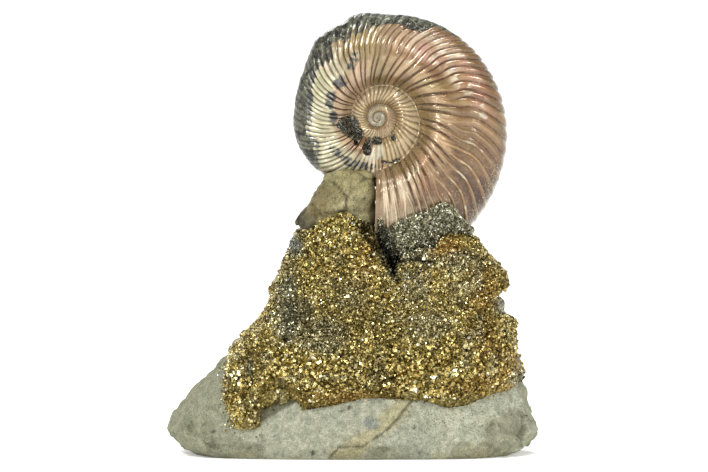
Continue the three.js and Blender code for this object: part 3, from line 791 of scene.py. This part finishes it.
def shell_material():
    material, tree, surface = new_material("nacre", Metallic=0.3, Specular_IOR_Level=0.3)
    fine = texture(tree, 2, 5)
    specks = texture(tree, 0.75, 2)
    bare = stored(tree, "bare")
    wavering = reckoned(tree, "SUBTRACT", fine, 0.5)
    crest = reckoned(tree, "MULTIPLY_ADD", wavering, 0.5, stored(tree, "crest"))
    high, low = stored(tree, "high", "Color"), stored(tree, "low", "Color")
    # Groove bottoms take the dark groove colour as painted shade, and crests the pale crest colour as
    # painted highlight.
    body = mixed(tree, stretched(tree, crest, 0.02, 0.38), low, mixed(tree, 0.36, high, low))
    body = mixed(tree, stretched(tree, crest, 0.4, 0.95), body, high)

    # Painted sheen: pale pink, cream and green highlights laid on the crests, standing for the nacre's
    # iridescent lustre.
    sheens = [(0.32, 240, 196, 190), (0.45, 244, 234, 208), (0.56, 204, 218, 184), (0.68, 236, 206, 210)]
    sheen_tint = ramp(tree, texture(tree, 7, 2, distortion=1.5), sheens)
    gleam = stretched(tree, texture(tree, 9, 4, distortion=0.8), 0.48, 0.66)
    gleam = times(tree, gleam, stretched(tree, crest, 0.55, 0.95))
    gleam = times(tree, gleam, stored(tree, "painted_sheen"))
    body = mixed(tree, times(tree, gleam, 0.55), body, sheen_tint)
    stain = stretched(tree, texture(tree, 12, 4), 0.46, 0.7)
    body = mixed(tree, times(tree, stain, 0.35), body, solid(120, 98, 70))

    grit = ramp(tree, specks, [(0.38, 48, 42, 28), (0.5, 96, 84, 58), (0.64, 166, 156, 122)])
    dusted = ragged(tree, times(tree, stored(tree, "dust"), 0.62), specks, 1.1)
    body = mixed(tree, times(tree, dusted, 0.75), body, grit)
    smoke = reckoned(tree, "MULTIPLY_ADD", wavering, 1.6, stored(tree, "smoke"))
    smoked = mixed(tree, times(tree, crest, 0.4), solid(8, 9, 11), solid(84, 86, 84))
    body = mixed(tree, times(tree, stretched(tree, smoke, 0.2, 0.8), 0.95), body, smoked)
    grains = [(0.36, 14, 15, 11), (0.48, 36, 38, 29), (0.6, 60, 62, 47), (0.7, 112, 112, 90)]
    pyrite = mixed(tree, times(tree, crest, 0.3), ramp(tree, specks, grains), solid(150, 150, 128))
    patches = stretched(tree, texture(tree, 5, 5), 0.46, 0.58)
    pyrite = mixed(tree, times(tree, patches, 0.8), pyrite, solid(24, 26, 23))
    body = mixed(tree, ragged(tree, bare, fine), body, pyrite)
    crumbs = [(0.4, 14, 13, 11), (0.52, 52, 50, 40), (0.6, 90, 88, 72), (0.7, 190, 186, 160)]
    body = mixed(tree, ragged(tree, stored(tree, "dark"), fine), body, ramp(tree, specks, crumbs))

    gloss = ramp(tree, fine, [(0.3, 95, 95, 95), (0.7, 150, 150, 150)])
    chalky = mixed(tree, stored(tree, "calcite"), gloss, solid(220, 220, 220))
    lustre = reckoned(tree, "MULTIPLY_ADD", bare, -0.65, 0.8)
    matted = times(tree, specks, reckoned(tree, "ADD", bare, 0.12))
    normal = bumped(tree, matted, 0.2, bumped(tree, fine, 0.1))
    fill(tree, surface, {"Base Color": body, "Roughness": chalky, "Normal": normal})
    fill(tree, surface, {"Coat Weight": lustre, "Coat Roughness": 0.1})
    return material


# The claystone


CRACK = [(30.5, 31.5), (26, 25.5), (21.8, 20), (16, 14.5), (5.5, 7), (-6, 7), (-11.5, 1)]
STAINS = [(-6, 3), (6, 10), (24, 26)]
BLUE_PATCH = (9.5, 18.5, 4.2, 2.8)
# Small pits in the stone: middle (x, z), reach and strength.
STONE_PITS = [
    (-1.6, 26.4, 1.1, 0.9, 1), (31, 16.5, 0.5, 1.3, 1), (-5.6, 24.2, 1.6, 0.5, 1),
    (-69, 13.6, 1, 0.8, 1), (26.5, 20.7, 0.6, 0.5, 1), (-19.5, 3.5, 1, 1.3, 1),
    (-13.5, 4.5, 0.4, 1, 1), (33, 3.4, 0.5, 0.5, 1),
]
# Where the stone is broken rough; elsewhere its front is ground smooth.
BROKEN_PATCHES = [
    (80, 13, 11, 12, 1), (66, 5, 13, 5, 1), (-82, 9, 11, 9, 1), (-60, 3, 16, 4, 1), (10, 3, 16, 4, 1),
]
# Corners worn back: middle (x, z), reach and depth.
WORN_CORNERS = [(92, 26, 5, 8, 2.5), (-92, 22, 5, 7, 1.5)]
SMOOTH_WINDOW = [(-45, 22), (-38, 26.5), (-30.5, 30.5)]
# Painted shade: a dark band down the neck where it meets the shell's mouth, as a line through (x, z)
# places.
NECK_SEAM_SHADE = [(10.5, 112), (11.5, 142)]


def make_stone():
    piece, points, normals = remeshed_copy("claystone_matrix", "claystone", 1.2)
    height = points[:, 2]
    on_front = eased(-normals[:, 1], 0.2, 0.5)
    broken = np.maximum(zoned(points, BROKEN_PATCHES, 0.3, 0.5) * on_front, 1 - on_front)
    neck = eased(height, 108, 116)
    broken = np.maximum(broken, 0.9 * neck)
    first, second, number, away = cells(points, 15, 3)
    tilt = np.stack([number - 0.5, (number * 7.3) % 1 - 0.5, (number * 3.7) % 1 - 0.5], 1)
    facets = 15 * (away * tilt).sum(1) * 0.36
    chips = 0.8 * (cells(points, 4.5, 9)[2] - 0.5)
    facets = facets * (1 + 0.8 * on_front * (1 - neck))
    lumps = broken * (facets + chips + 0.6 * rough(points, 5, 36))
    lumps = lumps + 0.7 * noise(points, 24, 32) + 0.16 * rough(points, 4, 39)
    crack = line_distance(points, CRACK) + 0.5 * noise(points, 3, 40)
    lumps = lumps - 0.5 * (1 - eased(crack, 0.2, 1.1)) * on_front
    pitted = zoned(points, STONE_PITS, 0.4, 0.3) * on_front
    lumps = lumps - 1.1 * pitted - 2.5 * np.clip(noise(points, 3.2, 44) - 0.74, 0, 1)
    lumps = lumps - zoned(points, WORN_CORNERS, 0.5, 0.1)
    moved = points + normals * (lumps * eased(height, 0.5, 5))[:, None]
    moved[:, 2] = np.where(height < 0.6, height, np.maximum(moved[:, 2], 0.6))
    move_points(piece, moved)

    beige = eased(height + 4 * noise(points, 9, 46), 92, 112)
    colours = np.tile(linear(164, 165, 146), (len(points), 1))

    def lay(mask, *screen):
        paint(colours, mask, *screen)

    lay(patchy(points, 30, 47, 0, 0.7), 152, 155, 138)
    lay(0.8 * broken * (1 - beige), 142, 141, 118)
    lay(0.8 * eased(-points[:, 0], 30, 75), 134, 135, 113)
    lay(0.5 * stripe(points, STAINS, 3, 5.5, 2, 6) * on_front, 172, 160, 112)
    lay(0.7 * spot(points, *BLUE_PATCH, 0.4, 0.3) * on_front, 122, 132, 130)
    lay(0.35 * (1 - eased(height, 0, 9)) * patchy(points, 9, 48, -0.2, 0.4), 148, 138, 100)
    lay(beige, 134, 127, 92)
    dun = beige * eased(noise(points * (1, 1, 0.7), 10, 49) - points[:, 0] / 40 - 0.25, -0.3, 0.4)
    lay(0.7 * dun, 104, 92, 62)
    lay(0.7 * beige * spot(points, 0, 123, 10, 9, 0.5, 0.4), 152, 145, 112)
    lay(0.8 * beige * spot(points, -25, 117, 7, 5, 0.5, 0.4), 78, 76, 62)
    crackle = neck * (1 - eased(second - first, 0.02, 0.09)) * patchy(points, 6, 45, -0.5, 0.2)
    lay(0.85 * crackle, 50, 45, 30)
    # Painted shade where the neck meets the shell.
    lay(0.75 * neck * (1 - eased(line_distance(points, NECK_SEAM_SHADE), 0.5, 3)), 66, 60, 44)
    lay(0.9 * stripe(points, SMOOTH_WINDOW, 4.2, 1.4, 0.6, 4) * on_front, 88, 86, 66)
    opened = 0.8 * (1 - eased(crack, 0.2, 0.9)) * on_front
    lay(0.85 * np.maximum(pitted, opened), 52, 46, 34)
    gain = 1.25 + 0.36 * neck + 0.24 * eased(points[:, 0], 25, 70)
    # Each broken facet a little lighter or darker: random tone, and painted light and shade on the
    # facets.
    colours *= (gain * (1 + 0.22 * broken * (number - 0.5)))[:, None]
    store(piece, "colour", colours)
    flecked = on_front * spot(points, 52, 22, 24, 11, 0.7, 0.3)
    under_crust = 1 - eased(line_distance(points, CRUST_EDGE), 1, 5)
    store(piece, "flecks", np.clip(0.4 + 0.5 * flecked + 0.5 * under_crust + 0.6 * beige, 0, 1))
    return piece


def stone_material():
    material, tree, surface = new_material("claystone", Roughness=0.92, Specular_IOR_Level=0.25)
    fine = texture(tree, 2.2, 6, roughness=0.65)
    sand = texture(tree, 0.55, roughness=0.7)
    clouds = texture(tree, 5, 6, roughness=0.65)
    body = stored(tree, "colour", "Color")
    for share, pattern, stops in (
        (0.65, fine, [(0.36, 186, 186, 182), (0.5, 228, 228, 226), (0.62, 255, 255, 255)]),
        (0.45, clouds, [(0.4, 180, 182, 176), (0.58, 255, 255, 255)]),
        (0.55, sand, [(0.38, 160, 160, 152), (0.62, 255, 255, 255)]),
    ):
        body = mixed(tree, share, body, ramp(tree, pattern, stops), "MULTIPLY")
    flecks = stretched(tree, texture(tree, 0.8, 1), 0.6, 0.7)
    flecks = times(tree, flecks, stored(tree, "flecks"))
    body = mixed(tree, times(tree, flecks, 0.9), body, solid(64, 60, 48))
    normal = bumped(tree, fine, 0.3, bumped(tree, sand, 0.16))
    fill(tree, surface, {"Base Color": body, "Normal": normal})
    return material


# The pyrite druses


# The golden crust's lower edge, its left lobe's straight edge, and its right lobe's creases.
CRUST_EDGE = [
    (-60, 53), (-63, 47), (-64, 38), (-62.5, 28), (-60, 18), (-49, 17), (-47, 26), (-38, 33.5),
    (-29, 35), (-25, 29.5), (-10, 30.5), (3, 32.5), (22, 33), (31, 33.5), (39, 31.5), (49, 29),
    (59, 31), (70, 35), (84, 38),
]
LOBE_EDGE = [(0.5, 118.5), (9, 107), (21.5, 88.5)]
CREASES = [
    (1, [(20, 97.2), (29.6, 99), (40.3, 97.7)]),
    (0.3, [(21, 89.5), (27.7, 91.3), (36.5, 94.7)]),
]

# Zones of the crusts: middle (x, z), reach and strength.
GREY_ZONES = [
    (55, 98, 9, 5, 0.6), (62, 92, 4, 9, 0.6), (54, 85, 7, 4, 0.45), (75.5, 74.5, 4.5, 4.5, 1),
    (28, 84, 9, 9, 0.4), (40, 66, 12, 7, 0.45), (-33, 64, 7, 9, 0.8), (-2, 80, 10, 9, 0.3),
    (20, 92, 5, 4, 0.3), (-10, 88, 8, 6, 0.25), (24, 103, 10, 5, 0.8), (-14, 62, 12, 8, 0.6),
]
SLATE_ZONES = [
    (-31.5, 80, 6.5, 16, 0.85), (-30, 106, 6, 6, 1.1), (-33.5, 112, 7, 4, 0.8),
    (-50.7, 46, 1.6, 5, 0.9), (82, 39, 4, 4, 0.8), (-24, 74, 5, 6, 0.6),
]
RUST_ZONES = [
    (9, 99, 6, 14, 0.35), (46, 106, 7, 8, 0.6), (66, 84, 8, 10, 0.4), (66, 62, 10, 12, 0.3),
    (-5, 30, 22, 4, 0.6), (66, 36, 14, 5, 0.4), (79, 46, 6, 9, 0.4), (30, 104, 6, 3, 0.3),
]
COARSE_ZONES = [
    (10, 45, 70, 14, 1), (-45, 35, 14, 18, 0.7), (-8, 100, 18, 14, 0.5), (60, 52, 26, 16, 0.8),
]
# Painted shade in the recess right of the left lobe's straight edge: middle (x, z), reach and strength.
RECESS_SHADE_ZONES = [(6, 112, 7, 9, 1), (13, 104, 6, 12, 1), (19, 95, 4, 10, 1)]

# Palettes from dull, at 0, to gleaming, at 1: a grain's tone is partly its own tarnish and partly
# painted glint and painted shade among the grains.
GOLD_TONES = [
    (0, 104, 92, 52), (0.25, 146, 130, 76), (0.5, 184, 166, 102), (0.75, 214, 196, 128),
    (0.92, 244, 228, 166), (1, 255, 250, 220),
]
GREY_TONES = [
    (0, 98, 96, 78), (0.3, 138, 136, 112), (0.6, 174, 172, 144), (0.85, 212, 210, 186),
    (1, 250, 249, 236),
]
SLATE_TONES = [(0, 78, 80, 68), (0.4, 114, 115, 96), (0.8, 156, 156, 132), (1, 226, 228, 216)]
RUST_TONES = [
    (0, 98, 72, 34), (0.3, 150, 112, 56), (0.6, 194, 152, 82), (0.85, 226, 188, 112),
    (1, 255, 238, 184),
]
STAINED = ((RUST_ZONES, RUST_TONES), (GREY_ZONES, GREY_TONES), (SLATE_ZONES, SLATE_TONES))

CUBE = np.array([(x, y, z) for x in (-1, 1) for y in (-1, 1) for z in (-1, 1)]) * 0.5
CUBE_FACES = np.array([
    (0, 1, 3), (0, 3, 2), (4, 6, 7), (4, 7, 5), (0, 4, 5), (0, 5, 1),
    (2, 3, 7), (2, 7, 6), (0, 2, 6), (0, 6, 4), (1, 5, 7), (1, 7, 3),
])
OCTAHEDRON = np.array([(1, 0, 0), (-1, 0, 0), (0, 1, 0), (0, -1, 0), (0, 0, 1), (0, 0, -1)]) * 0.72
OCTAHEDRON_FACES = np.array([
    (0, 2, 4), (2, 1, 4), (1, 3, 4), (3, 0, 4), (2, 0, 5), (1, 2, 5), (3, 1, 5), (0, 3, 5),
])
SHAPES = ((CUBE, CUBE_FACES), (OCTAHEDRON, OCTAHEDRON_FACES))


def creases(points, width):
    """1 in a deep crease of the right lobe, less in a shallow one, and 0 away from them."""
    return np.max([depth * stripe(points, line, width, 1.1, 0.3, 4) for depth, line in CREASES], 0)


def stained(colours, share, tones, palette):
    """Colours with another palette's colours laid over a share of each."""
    return colours + share[:, None] * (from_palette(tones, palette) - colours)


def gold_colours(points, tones):
    """The golden crust's colours for tones from 0, dull, to 1, gleaming, with painted shade in the
    creases, along the left lobe's straight edge and in the recess beside it.
    """
    tones = np.clip(tones + 0.12 * noise(points, 10, 53), 0, 1)
    colours = 0.95 * from_palette(tones, GOLD_TONES)
    for zones, palette in STAINED:
        colours = stained(colours, np.clip(zoned(points, zones), 0, 1), tones, palette)
    colours *= (1 - 0.22 * patchy(points, 17, 55, 0, 0.6))[:, None]
    colours = stained(colours, 0.35 * patchy(points, 7, 54, 0.2, 0.8), tones, GREY_TONES)
    # Painted shade: darker in the creases, along the left lobe's straight edge and in the recess to its
    # right.
    lobe_side, heights = np.array(LOBE_EDGE[::-1]).T
    recessed = eased(points[:, 0] - np.interp(points[:, 2], heights, lobe_side), -0.5, 1.5)
    crease_shade = np.maximum(creases(points, 0.6), stripe(points, LOBE_EDGE, 0.6, 1))
    shade = np.maximum(crease_shade, recessed * zoned(points, RECESS_SHADE_ZONES, wobble=0.2))
    return np.clip(1.32 * colours, 0, 1) * (1 - 0.85 * shade)[:, None]


def silver_colours(points, tones):
    """The silvery crust's colours, with painted shade in the recess beside the left lobe."""
    recess_shade = zoned(points, RECESS_SHADE_ZONES, wobble=0.2)
    return np.clip(1.3 * from_palette(tones, GREY_TONES), 0, 1) * (1 - 0.85 * recess_shade)[:, None]


def random_turns(count):
    """Turns in every direction alike, as matrices."""
    q = RNG.normal(size=(count, 4))
    w, x, y, z = (q / np.linalg.norm(q, axis=1)[:, None]).T
    rows = [
        (1 - 2 * (y * y + z * z), 2 * (x * y - w * z), 2 * (x * z + w * y)),
        (2 * (x * y + w * z), 1 - 2 * (x * x + z * z), 2 * (y * z - w * x)),
        (2 * (x * z - w * y), 2 * (y * z + w * x), 1 - 2 * (x * x + y * y)),
    ]
    return np.array(rows).transpose(2, 0, 1)


def crystal_mesh(name, places, sizes, colours_of):
    """Cubes and octahedra, turned at random, as one mesh of closed bodies."""
    points, faces, colours = [], [], []
    base = 0
    half = len(places) // 2
    for (shape, shape_faces), chosen in zip(SHAPES, (slice(0, half), slice(half, None))):
        where, size = places[chosen], sizes[chosen]
        count = len(where)
        stretch = RNG.uniform(0.75, 1.25, (count, 1, 3))
        turned = np.einsum("nij,nkj->nki", random_turns(count), shape[None] * stretch)
        points.append((turned * size[:, None, None] + where[:, None, :]).reshape(-1, 3))
        starts = base + len(shape) * np.arange(count)
        faces.append((shape_faces[None] + starts[:, None, None]).reshape(-1, 3))
        base += len(shape) * count
        # Each crystal's random tone: partly its own tarnish, partly painted glint and painted shade.
        tones = RNG.uniform(0, 1, count)
        colours.append(np.repeat(colours_of(where, tones), len(shape), axis=0))
    piece = make_piece(name, np.vstack(points), np.vstack(faces), smooth=False)
    store(piece, "colour", np.vstack(colours))
    return piece


def open_samples(piece, count, neighbours, reach):
    """Random places on a piece's faces, with their normals, where a face looks into the open and
    not at a close neighbour."""
    middles = triples(piece.data.polygons, "center") / MM
    normals = triples(piece.data.polygons, "normal")
    trees = [tree_of(name) for name in neighbours]
    is_open = [
        all(tree.ray_cast(place + 0.3 * way, way, reach)[0] is None for tree in trees)
        for place, way in zip(map(Vector, middles), map(Vector, normals))
    ]
    chosen = RNG.choice(np.flatnonzero(is_open), count)
    jitter = RNG.uniform(-0.45, 0.45, (count, 3))
    return middles[chosen] + jitter, normals[chosen]


def grown_sizes(points, usual, spread, least, most):
    """Random crystal sizes, of which large ones are rare."""
    return np.clip(np.exp(RNG.normal(np.log(usual), spread, len(points))), least, most)


def stray_grains(count):
    """Single grains on the claystone along the crust's lower edge, fewer further out."""
    tree = tree_of("claystone_matrix")
    line = np.array(CRUST_EDGE, float)
    start = RNG.integers(0, len(line) - 1, count)
    along = RNG.uniform(0, 1, (count, 1))
    spots = line[start] * (1 - along) + line[start + 1] * along
    reach = RNG.exponential(2.2, count)
    turn = RNG.uniform(0, TURN, count)
    spots += np.stack([reach * np.cos(turn), reach * np.sin(turn)], 1)
    hits = [tree.ray_cast(Vector((x, -80, z)), Vector((0, 1, 0)), 80)[0] for x, z in spots]
    found = np.array([hit for hit in hits if hit is not None])
    return found, grown_sizes(found, 0.5, 0.3, 0.3, 0.9)


def above_edge(points):
    """How high points are above the golden crust's lower edge."""
    edge = np.array([place for place in CRUST_EDGE if place[0] > -60.5 and place[1] < 40], float)
    return points[:, 2] - np.interp(points[:, 0], *edge.T)


def make_gold():
    base, points, normals = remeshed_copy("gold_pyrite_crust", "gold_druse", 1.15)
    first, second, number, _ = cells(points, 2.1, 11)
    grains = 0.9 * (second - first) + 0.5 * number - 0.8
    swells = 0.8 * noise(points, 11, 14) + 0.5 * noise(points, 5, 13)
    waist = spot(points, -63, 57, 7, 5, 0.6, 0.1)
    notch = spot(points, 77, 76, 6, 4.5, 0.6, 0.1)
    right_foot = spot(points, 86, 44, 8, 9, 0.5, 0.1)
    lift = 0.7 * grains + swells - 1.6 * creases(points, 0.8)
    lift = lift - 3.5 * waist - 4 * notch - 2 * right_foot
    raised = (5 + 9 * spot(points, -38, 25, 12, 9, 0.4, 0)) * (1 - eased(above_edge(points), 0, 18))
    raised = raised * eased(-normals[:, 1], -0.3, 0.1)
    move_points(base, points + normals * lift[:, None] + raised[:, None] * (0, 0, 1))
    store(base, "colour", gold_colours(points, 0.2 + 0.5 * number))
    neighbours = ("claystone_matrix", "ammonite_shell")
    places, ways = open_samples(base, 46000, neighbours, 5)
    stays = RNG.uniform(0, 1, len(places)) > 0.85 * zoned(places, SLATE_ZONES, wobble=0.3)
    stays &= (above_edge(places) > -0.5) | (places[:, 0] < -62)
    places, ways = places[stays], ways[stays]
    sizes = grown_sizes(places, 0.58 + 0.34 * zoned(places, COARSE_ZONES), 0.32, 0.32, 2)
    places = places + ways * (0.12 * sizes)[:, None]
    strays, stray_sizes = stray_grains(1000)
    places, sizes = np.vstack([places, strays]), np.concatenate([sizes, stray_sizes])
    druses = []
    for letter, chosen in zip("abc", np.array_split(RNG.permutation(len(places)), 3)):
        chunk = places[chosen], sizes[chosen]
        druses.append(crystal_mesh("gold_crystals_" + letter, *chunk, gold_colours))
    return base, druses


def make_silver():
    base, points, normals = remeshed_copy("silver_pyrite_crust", "silver_druse", 0.6)
    lift = 0.35 * noise(points, 1.1, 61) + 0.3 * noise(points, 3, 62) - 0.1
    move_points(base, points + normals * lift[:, None])
    store(base, "colour", silver_colours(points, np.full(len(points), 0.4)))
    neighbours = ("ammonite_shell", "gold_pyrite_crust")
    places, ways = open_samples(base, 12000, neighbours, 3)
    sizes = grown_sizes(places, 0.4, 0.3, 0.24, 0.9)
    places = places + ways * (0.1 * sizes)[:, None]
    return base, crystal_mesh("silver_crystals", places, sizes, silver_colours)


def pyrite_material(name, roughness, grain=None):
    """Pyrite. With a grain size, in millimetres, the surface glitters like a druse of grains, from each
    grain's tilted normal and from painted light and shade laid on each grain.
    """
    material, tree, surface = new_material(name, Metallic=1, Roughness=roughness)

    def vector(operation, inputs):
        return node(tree, "VectorMath", inputs, operation=operation).outputs[0]

    if grain is None:
        tarnish = stretched(tree, texture(tree, 1.8), 0.35, 0.65)
        shade = mixed(tree, tarnish, solid(150, 146, 132), solid(255, 255, 255))
        normal = bumped(tree, texture(tree, 0.35, 2), 0.03)
    else:
        place = node(tree, "TexCoord").outputs["Object"]
        cell = node(tree, "TexVoronoi", {"Vector": place, "Scale": 1 / (grain * MM)}).outputs["Color"]
        # Each grain lighter or darker: painted glint and painted shade among the grains.
        shade = ramp(tree, cell, [(0.2, 110, 108, 98), (0.8, 255, 255, 255)])
        off = vector("SUBTRACT", {0: cell, 1: (0.5, 0.5, 0.5)})
        tilt = vector("SCALE", {0: off, "Scale": 1.6})
        facing = node(tree, "NewGeometry").outputs["Normal"]
        normal = vector("NORMALIZE", {0: vector("ADD", {0: facing, 1: tilt})})
    toned = mixed(tree, 1, stored(tree, "colour", "Color"), shade, "MULTIPLY")
    fill(tree, surface, {"Base Color": toned, "Normal": normal})
    return material


# The scene


make_camera()
make_stage()
light_scene()

dress(make_shell(), shell_material(), "nacreous_shell", "ammonite_shell")
dress(make_stone(), stone_material(), "claystone", "claystone_matrix")

druse = pyrite_material("golden_pyrite", 0.3)
gold_base, gold_druses = make_gold()
dress(gold_base, pyrite_material("golden_grains", 0.3, 0.8), "gold_pyrite", "gold_pyrite_crust")
for crystals in gold_druses:
    dress(crystals, druse, "gold_pyrite")

fine_druse = pyrite_material("silvery_pyrite", 0.32)
silver_base, silver_druse = make_silver()
dress(silver_base, pyrite_material("silvery_grains", 0.32, 0.6), "silver_pyrite", "silver_pyrite_crust")
dress(silver_druse, fine_druse, "silver_pyrite")
